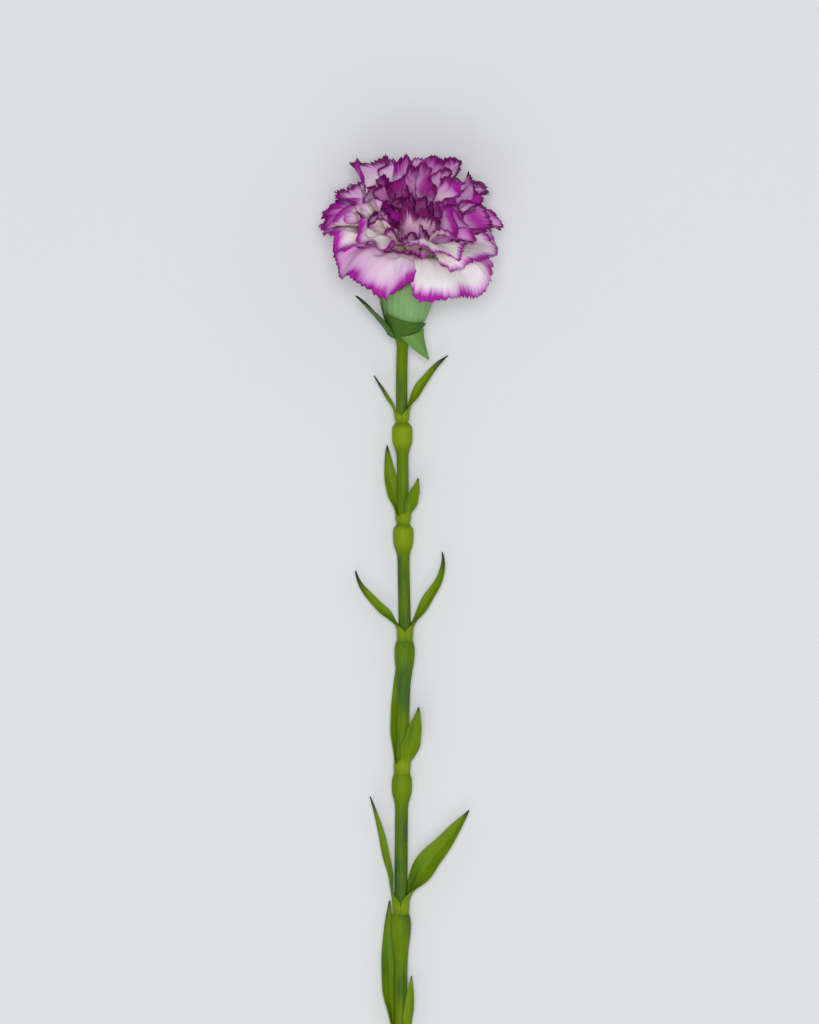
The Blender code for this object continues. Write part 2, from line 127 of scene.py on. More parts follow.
MIDRIB_PALENESS = 0.25
MIDRIB_PALE_WIDTH = 0.14  # share of the half blade
EDGE_WAVE = 0.08  # share of the leaf's width
EDGE_WAVES = 17  # radians over a leaf's length
EDGE_WAVE_TURN = 3  # so that leaves wave differently
EDGE_WAVE_START = 0.3  # share of the blade over which the waves rise
LEAF_SEED = 3
# Share of the first and second leaf's length at which it starts to turn dark towards its tip.
DARK_STARTS = ((0.62, 0.25), (0.9, 0.85), (0.72, 0.62), (0.9, 0.93), (0.9, 0.8), (0.93, 0.93))

# Calyx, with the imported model's outline: (height, radius) in mm.
CALYX_OUTLINE = ((0.7, 4.3), (2.6, 5.1), (4.8, 6.2), (9, 7.9), (14, 9.2), (19, 9.8), (31, 9.9))
CALYX_WALL = 0.6 * MM
CALYX_RIM = 24 * MM
TOOTH_COUNT = 5
TOOTH_LENGTH = 4.2 * MM
TOOTH_SHAPE = 1.6
TOOTH_NOTCH = 1.2 * MM  # depth of the gaps between the teeth, below the rim
TOOTH_TIP = (0.93, 0.07)  # share of the height where the tips turn brown, and its reach
TOOTH_TIP_GAIN = 1.6
TOOTH_TIP_LOSS = 0.4
TOOTH_TIP_BROWN = 0.6
OUTLINE_SAMPLES = 60
OUTLINE_ROUNDING = 4  # samples to either side over which the outline is rounded
CALYX_ROWS = 60
CALYX_COLUMNS = 160
CALYX_RIB_COUNT = 25
CALYX_RIB_HEIGHT = 0.10 * MM
CALYX_FOLD_HEIGHT = 0.16 * MM  # of the broad folds, one to a tooth
CALYX_RIB_GROWTH = 3
CALYX_PALENESS = 0.35
CALYX_PALE_START = 6 * MM
CALYX_PALE_RISE = 10 * MM
CALYX_SHEET_RADIUS = 9  # mm
CALYX_SEED = 20

# Bracts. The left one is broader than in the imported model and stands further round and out, and the hanging
# one narrows sooner. In degrees and mm, with shares for the tip's width:
# (name, azimuth, half width, base, tip, stand-off on the left and right, slant, taper, tip width, gap)
BRACTS = (
    ("bract_left", -156, 36, 0.9, 17.5, 9.4, 6.4, 0, 2.4, 0.04, 0.7),
    ("bract_front", -80, 58, 0.9, 10.2, 0.3, 0.5, 2, 3, 0.85, 0.3),
    ("bract_back", 80, 60, 0.9, 12, 0.8, 0.8, 0, 1.6, 0.04, 0.3),
)
BRACT_THICKNESS = 0.3 * MM
BRACT_LIFT_SHAPE = 1.6
BRACT_ROW_CROWDING = 1.5
BRACT_GRID = (36, 60)
BRACT_SHEET_WIDTH = 7 * MM
BRACT_SEED = 21
BRACT_BROWN = 0.8  # of the tip of a bract that stands off more on the left
BRACT_TIP = (0.95, 0.05)  # share of the length where the brown starts, and its reach
KEEL_HEIGHT = 0.25 * MM
KEEL_WIDTH = 0.1  # share of the half bract
KEEL_PALENESS = 0.25
KEEL_PALE_WIDTH = 0.15
CURL_HEIGHT = 0.4 * MM
CURL_SHAPE = 4
HANGING_AZIMUTHS = (-61, -33)
HANGING_HALF_WIDTHS = (38, 2)
HANGING_HEIGHTS = (4 * MM, -6 * MM)
HANGING_SLOPE = 1.5 * MM
HANGING_TIP_RADIUS = 12.4 * MM
HANGING_CLEARANCE = 1.5 * MM
HANGING_NARROWING = 0.55
HANGING_FOLD = 0.7 * MM
HANGING_GRID = (40, 30)
HANGING_SHEET_WIDTH = 5 * MM
HANGING_SEED = 31
HANGING_BROWN = 0.3
SEAT_GAP = 0.3 * MM

# Petals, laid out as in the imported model, but for the slants of 35 and 41 and the corners.
PETAL_COUNT = 44
GOLDEN_ANGLE = 180 * (3 - math.sqrt(5))
LAST_AZIMUTH = -50
SPREADS = (52, 39)
LIMB_LENGTHS = (29 * MM, 37.5 * MM)
HEART_SHARE = 0.5  # above this level all petals have the outer ones' spread and length
LIMB_TILT = 6 * MM
TILT_FADE = 4
LIMB_CHANGES = {
    12: -5, 16: -1.5, 18: 3, 20: -7, 21: -2, 23: -1, 24: -1, 25: -8, 26: -1.5,
    31: -3.4, 32: -1.5, 33: -10, 34: 0.5, 35: -0.9, 36: -3.6, 37: 0.4, 38: -16, 39: 1,
    40: -5.2, 41: -1.3, 42: -1.8, 43: -1,
}
LIMB_SLANTS = {13: 3, 21: 3, 24: 2, 26: -3, 35: -3, 39: -4, 40: 1.5, 41: 6, 43: -3}
CLAW_LENGTH = 27.5 * MM
CLAW_HALF_WIDTH = 1 * MM
CLAW_HALF_ANGLE = 13  # degrees
CLAW_BASE_RADII = (0.8 * MM, 4 * MM)
CLAW_MOUTH_RADII = (1.5 * MM, 8.9 * MM)
LEAN_HEART = math.radians(7)
LEAN_OUTER = math.radians(166)
LEAN_RUN = 37 * MM
LEVEL_SHAPE = 0.9
LEAN_GROWTH = 1.5
WIDENING_RUN = 0.34
CORNER_DROP = 0.3
CORNER_SHAPE = 3.5
SIDE_WAVE = 0.10  # share of the spread by which a petal's sides come and go
SIDE_WAVES = 9  # radians over a limb
# Petals that end sooner or later on a side than the model's: (left end, right end) as shares of the spread.
PETAL_SPANS = {18: (-1, 0.5), 20: (-1, 0.6), 22: (-0.45, 1), 41: (-1, 1.27), 43: (-1.08, 1)}

# Ruffles and fringe, which only the looks have. RUFFLE_HEIGHTS to RUFFLE_GROWTHS go with RUFFLE_LEVELS.
PETAL_THICKNESS = 0.16 * MM
PETAL_GAP = 0.5 * MM  # least way between two petals' middle surfaces
RUFFLE_LEVELS = (0, 0.35, 0.7, 0.9, 1)
RUFFLE_HEIGHTS = (2.4, 3.4, 4, 2.6, 1.7)  # at the rim, in mm
RUFFLE_LENGTHS = (7, 10, 17, 20, 22)  # in mm
RUFFLE_HEADINGS = (1.5, 1.2, 0.6, 0.4, 0.3)  # radians by which a wave may slant across the petal
RUFFLE_GROWTHS = (0.9, 0.9, 1.1, 1.8, 2.2)
RUFFLE_WAVES = ((1, 1), (0.4, 0.5), (0.5, 1.9), (0.11, 0.24))  # (height, length) as shares
RUFFLE_CHANCES = (0.85, 1.2)  # range of a random factor on a wave's length
RUFFLE_FLATNESS = 1.3
RUFFLE_RUN_LIMIT = 1.1  # share of the limb past which a ruffle grows no more
RUFFLE_SEED = 700
# Single petals that wave otherwise: (height, length) as shares.
RUFFLE_CHANGES = {
    13: (0.8, 1), 16: (0.7, 1), 17: (0.35, 1.3), 18: (0.7, 1), 20: (1.5, 0.95), 22: (1.3, 1),
    23: (0.8, 1.2), 25: (1.5, 0.9), 28: (1.5, 1), 30: (0.5, 1.3), 33: (1.2, 0.8), 35: (0.5, 1.3),
}
# Petals that stand nearer the heart than their level: by how much.
LEVEL_DROPS = {17: 0.11, 22: 0.05, 25: 0.05}
HEART_TRIM = 7 * MM  # limbs in the heart end up to this much sooner, each its own way
HEART_EDGE = 0.45  # level at which that has faded out, and the heart's plum and painted shade too
# Strength of the heart's plum: partly the petals' own deep colour, partly painted shade deep in the heart.
HEART_PLUM_AND_SHADE = 0.85
TRIM_TURN = 2.1  # radians from one petal to the next
TOOTH_WIDTHS = (0.4 * MM, 0.85 * MM)  # half a fringe tooth
TOOTH_DEPTHS = (0.5 * MM, 1.5 * MM)  # between two teeth
FRINGE_TIP_DEPTHS = (0, 0.3 * MM)
LEAST_RIM_ARC = 12 * MM
FRINGE_SEED = 4000
LOBE_DEPTHS = (3.4 * MM, 0.6 * MM)  # heart and outermost petals
LOBE_LENGTHS = (6 * MM, 17 * MM)
LOBE_START = 0.5  # share of the limb from which the lobes are cut
LOBE_TURN = 2.4  # radians from one petal to the next
FRINGE_START = 0.86  # share of the limb where the teeth begin to show
LIMB_ROWS = 30
LIMB_ROW_CROWDING = 1.35
CLAW_ROWS = 5

# Slow bends of the whole bloom: (wavelength, height). Together they are too gentle to fold a petal over,
# but they reach the claws' lower ends, some of which run into the stem's top.
WARPS = ((46 * MM, 1.2 * MM), (30 * MM, 0.7 * MM), (20 * MM, 0.45 * MM), (13 * MM, 0.3 * MM))
WARP_CENTRE = 28 * MM  # height of the bends' still centre, near the calyx mouth
WARP_START = 6 * MM  # distance from it within which nothing moves
WARP_RISE = 24 * MM
WARP_SEED = 11
EASE_START = 5 * MM  # height over the table below which petals are eased up
EASE_REST = 0.25 * MM  # height that their middle surfaces stay above

# The grid on which petals are stacked: azimuth cells round the head and runs along the limbs.
AZIMUTH_CELLS = 720
RUN_STEP = 0.5 * MM
RUN_CELLS = 97
LEVEL_CELLS = 241
LEVEL_LIMIT = 1.2
LEVEL_STEP = 0.01
LAST_CELL = 1.001  # keeps a place in a table short of its last cell
NEAR_CELLS = 4  # reach over which a petal keeps clear of those inside it
RIM_MARGIN = 1.5 * MM
SIDE_MARGIN = 2  # degrees


def smooth(value):
    """Ease a value from 0 to 1 with level ends."""
    value = np.clip(value, 0.0, 1.0)
    return value * value * (3.0 - 2.0 * value)


def rise(value, start, reach):
    """Ease from 0 at the start to 1 after the reach."""
    return smooth((value - start) / reach)


def mix(low, high, share):
    return low + (high - low) * share


# ---- frames and the stem's line

def head_matrix():
    turn = Euler((HEAD_RISE - math.pi / 2, 0.0, -HEAD_SWING), "XYZ").to_matrix().to_4x4()
    return Matrix.Translation(CALYX_SEAT) @ turn


def stem_points():
    points = [
        Vector((CALYX_SEAT.x + right * MM, CALYX_SEAT.y - below * MM, height * MM))
        for below, right, height in STEM_ROUTE
    ]
    points.append(CALYX_SEAT.copy())
    points.append(head_matrix() @ Vector((0.0, 0.0, AXIS_LEAD)))
    return points


def stem_axis(below):
    """Point on the stem's axis at a distance below the calyx, on a smooth curve through the route."""
    if below <= 0.0:
        return head_matrix() @ Vector((0.0, 0.0, -below))
    points = stem_points()
    knots = [CALYX_SEAT.y - point.y for point in points]
    index = next(i for i in range(len(points) - 2) if knots[i + 1] <= below)
    before = points[max(index - 1, 0)]
    start, end = points[index], points[index + 1]
    after = points[index + 2]
    span = knots[index + 1] - knots[index]
    share = (below - knots[index]) / span
    start_slope = (end - before) / (knots[index + 1] - knots[max(index - 1, 0)]) * span
    end_slope = (after - start) / (knots[index + 2] - knots[index]) * span
    square, cube = share ** 2, share ** 3
    return (
        start * (2 * cube - 3 * square + 1)
        + start_slope * (cube - 2 * square + share)
        + end * (3 * square - 2 * cube)
        + end_slope * (cube - square)
    )


def node_swelling(below):
    """How swollen the stem is, 1 at the middle of a node and 0 away from nodes, and how pale."""
    swelling, paleness = 0.0, 0.0
    for node, (above_reach, below_reach, above_power, below_power, pale) in zip(NODE_DISTANCES, NODE_SHAPES):
        above = node * MM - below
        reach, power = (above_reach, above_power) if above > 0.0 else (below_reach, below_power)
        share = math.exp(-(abs(above) / (reach * MM)) ** power)
        swelling += share
        paleness += share * pale
    return swelling, paleness


def stem_radius(below):
    radius = mix(STEM_RADIUS_TOP, STEM_RADIUS_END, max(below, 0.0) / STEM_LENGTH)
    flare = float(smooth((FLARE_LENGTH - below) / (FLARE_LENGTH + RECEPTACLE_HEIGHT))) ** FLARE_STEEPNESS
    swelling = node_swelling(below)[0]
    return radius + (NODE_RADIUS - radius) * swelling + (RECEPTACLE_RADIUS - radius) * flare


def deepness(below):
    """How much deeper the stem's green is, from 0 to 1."""
    return sum(
        strength * math.exp(-((below / MM - middle) / reach) ** DEEP_EDGE)
        for middle, reach, strength in DEEP_STRETCHES
    )


def stem_frame(above, below):
    """Directions to the right, up the stem and to the front, taken between two places on the stem."""
    upward = (stem_axis(above) - stem_axis(below)).normalized()
    right = upward.cross(Vector((0.0, 0.0, 1.0))).normalized()
    return right, upward, right.cross(upward)


# ---- mesh helpers

def grid_faces(numbers):
    """Four-cornered faces over a grid of point numbers."""
    corners = [numbers[:-1, :-1], numbers[:-1, 1:], numbers[1:, 1:], numbers[1:, :-1]]
    return np.stack(corners, axis=-1).reshape(-1, 4).tolist()


def new_mesh(name, points, faces):
    mesh = bpy.data.meshes.new(name)
    mesh.from_pydata(points.reshape(-1, 3).tolist(), [], faces)
    mesh.shade_smooth()
    return mesh


def grid_mesh(name, points, closed=False, capped=False):
    """A mesh over a grid of points, rows by columns, that may close round its columns and at its ends."""
    rows, columns = points.shape[:2]
    numbers = np.arange(rows * columns).reshape(rows, columns)
    if closed:
        numbers = np.hstack([numbers, numbers[:, :1]])
    faces = grid_faces(numbers)
    if capped:
        faces += [numbers[0, -2::-1].tolist(), numbers[-1, :-1].tolist()]
    return new_mesh(name, points, faces)


def grid_ups_sides(rows, columns):
    """Ways up (0 to 1) and across (-1 to 1) of a grid of points."""
    return np.meshgrid(np.linspace(0, 1, rows), np.linspace(-1, 1, columns), indexing="ij")


def around(radius, angle, height):
    """Points at a distance and an angle in radians round the head's axis."""
    return np.stack([radius * np.cos(angle), radius * np.sin(angle), height], axis=-1)


def describe(mesh, grid, sheet, **values):
    """Store for each point of a grid its place on its flat sheet (across, along, own number) and values."""
    places = np.stack([np.broadcast_to(part, grid) for part in sheet], axis=-1)
    attribute = mesh.attributes.new("sheet", "FLOAT_VECTOR", "POINT")
    attribute.data.foreach_set("vector", places.astype(np.float32).ravel())
    for name, numbers in values.items():
        attribute = mesh.attributes.new(name, "FLOAT", "POINT")
        attribute.data.foreach_set("value", np.broadcast_to(numbers, grid).astype(np.float32).ravel())


def new_object(name, data):
    thing = bpy.data.objects.new(name, data)
    bpy.context.scene.collection.objects.link(thing)
    return thing


def add_piece(mesh, materials, node, matrix=None):
    """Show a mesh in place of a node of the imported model."""
    for material in materials:
        mesh.materials.append(material)
    piece = new_object(mesh.name, mesh)
    if matrix is not None:
        piece.matrix_world = matrix
    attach(piece, "root")
    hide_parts(node)
    return piece


def thicken(piece, thickness, offset, second_material=0):
    """Give a sheet its thickness, on one side of it (offset -1 or 1) or on both (0)."""
    shell = piece.modifiers.new("thickness", "SOLIDIFY")
    shell.thickness = thickness
    shell.offset = offset
    shell.use_even_offset = False
    shell.material_offset = second_material
    shell.material_offset_rim = second_material


# ---- material helpers

PER_MM = 1000


def feed(tree, node, inputs):
    """Link the sockets to a node's inputs, and set its other inputs to the values."""
    for key, value in inputs.items():
        if isinstance(value, bpy.types.NodeSocket):
            tree.links.new(value, node.inputs[key])
        else:
            node.inputs[key].default_value = value


def add_node(tree, kind, inputs, settings=None):
    node = tree.nodes.new("ShaderNode" + kind)
    for key, value in (settings or {}).items():
        setattr(node, key, value)
    feed(tree, node, inputs)
    return node


def maths(tree, operation, first, second=0.0, third=0.0):
    inputs = {0: first, 1: second, 2: third}
    return add_node(tree, "Math", inputs, {"operation": operation}).outputs[0]


def between(tree, value, low, high):
    """0 below low and 1 above high, eased in between."""
    settings = {"interpolation_type": "SMOOTHSTEP"}
    inputs = {"Value": value, "From Min": low, "From Max": high}
    return add_node(tree, "MapRange", inputs, settings).outputs[0]


def falling(tree, value, low, high):
    """1 below low and 0 above high, eased in between."""
    return maths(tree, "SUBTRACT", 1.0, between(tree, value, low, high))


def blend(tree, share, *colours):
    """Mix two colours, each a socket or a colour in red, green and blue."""
    first, second = (
        colour if isinstance(colour, bpy.types.NodeSocket) else (*colour, 1.0) for colour in colours
    )
    inputs = {0: share, 6: first, 7: second}
    return add_node(tree, "Mix", inputs, {"data_type": "RGBA"}).outputs[2]


def read_value(tree, name, output="Fac"):
    return add_node(tree, "Attribute", {}, {"attribute_name": name}).outputs[output]


def read_in_mm(tree, name, scale=1.0):
    return maths(tree, "MULTIPLY", read_value(tree, name), PER_MM * scale)


def noise(tree, places, scales, detail):
    """Noise from 0 to 1, with its own scale along each axis of the places."""
    scaling = {"operation": "MULTIPLY"}
    scaled = add_node(tree, "VectorMath", {0: places, 1: scales}, scaling).outputs[0]
    inputs = {"Vector": scaled, "Scale": 1.0, "Detail": detail}
    return add_node(tree, "TexNoise", inputs).outputs[0]


def new_material(name):
    material = bpy.data.materials.new(name)
    material.use_nodes = True
    return material, material.node_tree, material.node_tree.nodes["Principled BSDF"]


def bump(tree, height, strength, distance):
    inputs = {"Height": height, "Strength": strength, "Distance": distance}
    return add_node(tree, "Bump", inputs).outputs[0]


# ---- materials

PETAL_WHITE = (0.87, 0.85, 0.85)
PETAL_CREAM = (0.82, 0.68, 0.62)
PETAL_THROAT = (0.55, 0.42, 0.13)
PETAL_LILAC = (0.70, 0.38, 0.70)
PETAL_MAUVE = (0.69, 0.22, 0.62)
PETAL_MAGENTA = (0.40, 0.012, 0.34)
PETAL_PLUM_AND_SHADE = (0.25, 0.010, 0.15)
PETAL_TOOTH = (0.16, 0.005, 0.11)

# Noise: scales, a metre, across a sheet and along it, and for the sheet's own number.
STREAK_SCALES = (1150, 75, 7)
PATCH_SCALES = (130, 75, 7)
VEIN_SCALES = (700, 40, 7)
WEAVE_SCALES = (2600, 2600, 7)
GREEN_PATCH_SCALES = (120, 42, 5)
GREEN_LINE_SCALES = (2600, 60, 5)
GRAIN_SCALES = (900, 900, 900)
NOISE_MIDDLE = 0.5
PATCH_STRENGTH = 2.1
STREAK_STRENGTH = 2.2
# Where a petal's colours fade out: in mm from the calyx mouth, or as shares of the margin or the fringe.
CREAM_FADE = (14, 30)
THROAT_FADE = (2, 9)
LILAC_FADE = (0.45, 1.4)
MAGENTA_FADE = (0, 0.75)
TOOTH_FADE = (0.2, 1)


def petal_material(name, body, margin_scale):
    """One side of the petals: pale body, magenta margin, plum heart that is partly painted shade, patchy dark
    fringe and yellowish throat.
    """
    material, tree, shader = new_material(name)
    places = read_value(tree, "sheet", "Vector")
    rim = read_in_mm(tree, "rim")
    run = read_in_mm(tree, "run")
    margin = read_in_mm(tree, "margin", margin_scale)
    fringe = read_in_mm(tree, "fringe")
    streaks = noise(tree, places, STREAK_SCALES, 2.0)
    patches = noise(tree, places, PATCH_SCALES, 0.6)
    wide = maths(tree, "MULTIPLY", maths(tree, "SUBTRACT", patches, NOISE_MIDDLE), PATCH_STRENGTH)
    thin = maths(tree, "MULTIPLY", maths(tree, "SUBTRACT", streaks, NOISE_MIDDLE), STREAK_STRENGTH)

    cream = falling(tree, maths(tree, "MULTIPLY_ADD", wide, 8.0, run), *CREAM_FADE)
    cream = maths(tree, "MAXIMUM", maths(tree, "MULTIPLY", cream, 0.6), read_value(tree, "peach"))
    colour = blend(tree, cream, body, PETAL_CREAM)
    # The mauve wash is mostly the petals' own tone. On some single petals it is partly painted shade, and on
    # one it is held low as painted light.
    wash = maths(tree, "MULTIPLY_ADD", wide, 0.3, read_value(tree, "mauve"))
    colour = blend(tree, maths(tree, "MAXIMUM", wash, 0.0), colour, PETAL_MAUVE)
    depth = maths(tree, "ADD", maths(tree, "DIVIDE", rim, margin), wide)
    colour = blend(tree, falling(tree, depth, *LILAC_FADE), colour, PETAL_LILAC)
    colour = blend(tree, falling(tree, depth, *MAGENTA_FADE), colour, PETAL_MAGENTA)
    # Plum in the heart: partly the petals' own colour and partly painted shade where the heart lies deep.
    dark = maths(tree, "MULTIPLY", read_value(tree, "plum"), between(tree, patches, 0.1, 0.5))
    colour = blend(tree, dark, colour, PETAL_PLUM_AND_SHADE)
    reach = maths(tree, "MULTIPLY_ADD", thin, 0.75, maths(tree, "DIVIDE", rim, fringe))
    streaked = maths(tree, "MULTIPLY", falling(tree, reach, *TOOTH_FADE), between(tree, patches, 0.12, 0.4))
    streaked = maths(tree, "MULTIPLY", streaked, between(tree, fringe, -0.5, 2.0))
    colour = blend(tree, streaked, colour, PETAL_TOOTH)
    throat = maths(tree, "MULTIPLY", falling(tree, run, *THROAT_FADE), 0.8)
    colour = blend(tree, throat, colour, PETAL_THROAT)

    veins = noise(tree, places, VEIN_SCALES, 3.0)
    weave = noise(tree, places, WEAVE_SCALES, 1.0)
    relief = maths(tree, "MULTIPLY_ADD", weave, 0.25, veins)
    feed(tree, shader, {
        "Base Color": colour,
        "Roughness": maths(tree, "MULTIPLY_ADD", streaks, 0.2, 0.6),
        "Specular IOR Level": 0.15,
        "Normal": bump(tree, relief, strength=0.14, distance=0.4 * MM),
    })
    return material


DEEP_GREEN = (0.018, 0.085, 0.025)
TIP_BROWN = (0.035, 0.028, 0.018)


def green_material(name, base, deep, pale, roughness):
    """Waxy green with deeper patches, fine lines along the piece, a paler zone and dark tips."""
    material, tree, shader = new_material(name)
    places = read_value(tree, "sheet", "Vector")
    patches = noise(tree, places, GREEN_PATCH_SCALES, 3.0)
    lines = noise(tree, places, GREEN_LINE_SCALES, 2.0)
    colour = blend(tree, between(tree, patches, 0.42, 0.68), base, deep)
    colour = blend(tree, maths(tree, "MULTIPLY", between(tree, lines, 0.45, 0.75), 0.35), colour, pale)
    stretch = maths(tree, "MULTIPLY", read_value(tree, "deep"), between(tree, patches, 0.2, 0.6))
    colour = blend(tree, stretch, colour, DEEP_GREEN)
    colour = blend(tree, read_value(tree, "pale"), colour, pale)
    colour = blend(tree, read_value(tree, "tip"), colour, TIP_BROWN)
    relief = maths(tree, "MULTIPLY_ADD", patches, 0.6, lines)
    feed(tree, shader, {
        "Base Color": colour,
        "Roughness": maths(tree, "MULTIPLY_ADD", patches, 0.25, roughness - 0.12),
        "Specular IOR Level": 0.1,
        "Normal": bump(tree, relief, strength=0.25, distance=0.2 * MM),
    })
    return material


GREENS = (  # (name, (base, deep and pale colour), roughness)
    ("stem_green", ((0.105, 0.19, 0.001), (0.032, 0.105, 0.012), (0.22, 0.32, 0.002)), 0.5),
    ("leaf_green", ((0.13, 0.23, 0.002), (0.05, 0.145, 0.008), (0.24, 0.33, 0.006)), 0.5),
    ("calyx_green", ((0.21, 0.40, 0.14), (0.14, 0.29, 0.08), (0.28, 0.48, 0.20)), 0.6),
    ("bract_green", ((0.06, 0.155, 0.018), (0.04, 0.11, 0.012), (0.11, 0.22, 0.03)), 0.55),
    ("hanging_green", ((0.14, 0.30, 0.06), (0.09, 0.23, 0.035), (0.19, 0.37, 0.09)), 0.5),
)


def floor_material():
    material, tree, shader = new_material("paper")
    places = add_node(tree, "TexCoord", {}).outputs["Object"]
    grain = noise(tree, places, GRAIN_SCALES, 2.0)
    colour = blend(tree, grain, (0.73, 0.745, 0.765), (0.75, 0.765, 0.785))
    feed(tree, shader, {"Base Color": colour, "Roughness": 0.9})
    return material


# ---- stem

def build_stem(material):
    """The stem with its nodes and receptacle. Its faces wind inwards, which is a known fault."""
    count = int((STEM_LENGTH + RECEPTACLE_HEIGHT) / STEM_RING_STEP) + 1
    belows = np.linspace(STEM_LENGTH, -RECEPTACLE_HEIGHT, count)
    angles = np.linspace(0.0, math.tau, STEM_SIDES, endpoint=False)
    rows = []
    for below in belows:
        centre = stem_axis(below)
        right, _, front = stem_frame(below - AXIS_STEP, min(below + AXIS_STEP, STEM_LENGTH))
        radius = stem_radius(below)
        ring = []
        for angle in angles:
            rib = math.sin(STEM_RIBS * angle + STEM_RIB_TWIST * below)
            ribbed = radius * (1.0 + STEM_RIB_DEPTH * (rib - 1.0))
            ring.append(centre + (right * math.cos(angle) + front * math.sin(angle)) * ribbed)
        rows.append((ring, node_swelling(below)[1], deepness(below), below, radius))
    for end, shares in ((0, CUT_END_RINGS), (-1, TOP_RINGS)):
        middle = sum(rows[end][0], Vector()) / STEM_SIDES
        for share in shares:
            ring, _, _, below, radius = rows[end]
            ring = [middle + (point - middle) * share for point in ring]
            rows.insert(0 if end == 0 else len(rows), (ring, END_PALENESS, 0.0, below, radius))
    rings, pale, deep, belows, radii = zip(*rows)
    points = np.array([[tuple(point) for point in ring] for ring in rings])
    mesh = grid_mesh("stem_fine", points, closed=True, capped=True)
    pale, deep, belows, radii = (np.array(row)[:, None] for row in (pale, deep, belows, radii))
    sheet = (radii * angles, belows, STEM_SEED)
    describe(mesh, points.shape[:2], sheet, pale=pale, deep=deep, tip=0.0)
    add_piece(mesh, (material,), "stem")


# ---- leaves

def leaf_centre_line(leaf, base_radius):
    """Runs, leans, distances along the stem and distances out from its axis, from the sheath's end."""
    length = leaf[0] * MM
    lean_base, lean_middle, lean_tip = (math.radians(lean) for lean in leaf[2:5])
    runs = np.linspace(0.0, length, RUN_CELLS)
    leans = mix(lean_base, lean_middle, smooth(runs / (length * LEAF_MIDDLE)))
    past_middle = np.clip((runs / length - LEAF_MIDDLE) / (1.0 - LEAF_MIDDLE), 0.0, 1.0)
    leans += (lean_tip - lean_middle) * past_middle ** TIP_CURVE
    leans *= smooth(runs / LEAF_BEND_RUN)
    steps = np.diff(runs, prepend=0.0)
    along = np.cumsum(np.cos(leans) * steps)
    out = base_radius + np.cumsum(np.sin(leans) * steps)
    return runs, leans, along, out


def leaf_points(leaf, turn, node_below):
    """Points of one leaf with its half of the sheath, in its pair's frame, rows by columns."""
    length, width, _, lean_middle, _, swing, twist = leaf
    sheath_top = SHEATH_START + SHEATH_LENGTH
    top_radius = stem_radius(node_below - sheath_top) + SHEATH_GAP
    runs, leans, along, out = leaf_centre_line(leaf, top_radius)
    stem_way = np.array((0.0, 1.0, 0.0))
    side = np.linspace(-1.0, 1.0, LEAF_COLUMNS)[:, None]
    twist_rate = mix(*TWIST_RATES, smooth(lean_middle / OPEN_LEAN))
    rows = []
    for up in np.linspace(0.0, 1.0, LEAF_ROWS):
        if up <= SHEATH_SHARE:
            height = SHEATH_START + SHEATH_LENGTH * up / SHEATH_SHARE
            stand_off = mix(-SHEATH_ROOT, SHEATH_GAP, smooth(up / SHEATH_SHARE))
            radius = stem_radius(node_below - height) + stand_off
            angle = turn + side * math.pi / 2
            rows.append(np.hstack([radius * np.cos(angle), 0.0 * side + height, radius * np.sin(angle)]))
            continue
        share = ((up - SHEATH_SHARE) / (1.0 - SHEATH_SHARE)) ** ROW_CROWDING
        run = share * length * MM
        lean = float(np.interp(run, runs, leans))
        widening = mix(LEAF_BASE_WIDTH, 1.0, smooth(share / LEAF_WIDEST))
        blade = max(width * MM / 2 * (1.0 - share ** LEAF_TAPER) * widening, LEAF_TIP_HALF_WIDTH)
        half_arc = mix(top_radius * math.pi / 2, blade, smooth(share / BLADE_START))
        bend = mix(math.pi / 2, CHANNEL_BEND, smooth(share / CHANNEL_START))
        ring = half_arc / bend
        azimuth = turn + math.radians(swing) * smooth(share * SWING_RATE)
        turned = math.radians(twist) * smooth(share * twist_rate)
        radial = np.array((math.cos(azimuth), 0.0, math.sin(azimuth)))
        sideways = np.array((-math.sin(azimuth), 0.0, math.cos(azimuth)))
        centre = stem_way * (sheath_top + np.interp(run, runs, along)) + radial * np.interp(run, runs, out)
        outward = radial * math.cos(lean) - stem_way * math.sin(lean)
        blade_side = sideways * math.cos(turned) + outward * math.sin(turned)
        blade_out = outward * math.cos(turned) - sideways * math.sin(turned)
        ridge = MIDRIB_HEIGHT * np.exp(-(side / MIDRIB_WIDTH) ** 2) * smooth(share / MIDRIB_START)
        wave_share = math.sin(share * EDGE_WAVES + turn * EDGE_WAVE_TURN) * smooth(share / EDGE_WAVE_START)
        wave = EDGE_WAVE * width * MM * wave_share * np.abs(side) ** 2
        drop = ring * (1.0 - np.cos(side * bend)) - (ridge - wave) * (1.0 - share)
        rows.append(centre + blade_side * ring * np.sin(side * bend) - blade_out * drop)
    return np.array(rows)


def colour_leaf_pair(mesh, index, leaves):
    ups = np.linspace(0.0, 1.0, LEAF_ROWS)[:, None]
    sides = np.linspace(-1.0, 1.0, LEAF_COLUMNS)
    shares = np.clip((ups - SHEATH_SHARE) / (1.0 - SHEATH_SHARE), 0.0, 1.0)
    base = (1.0 - smooth(shares / PALE_REACH)) * mix(*SHEATH_PALENESS, smooth(ups / SHEATH_SHARE))
    midrib = MIDRIB_PALENESS * np.exp(-(sides / MIDRIB_PALE_WIDTH) ** 2)
    tips = np.array([rise(shares, start, 1.0 - start) for start in DARK_STARTS[index]])
    across = np.array([[sides * leaf[1] * MM / 2] for leaf in leaves])
    along = np.array([ups * leaf[0] * MM for leaf in leaves])
    grid = (len(leaves), LEAF_ROWS, LEAF_COLUMNS)
    describe(mesh, grid, (across, along, LEAF_SEED + index), pale=np.clip(base + midrib, 0, 1), tip=tips)


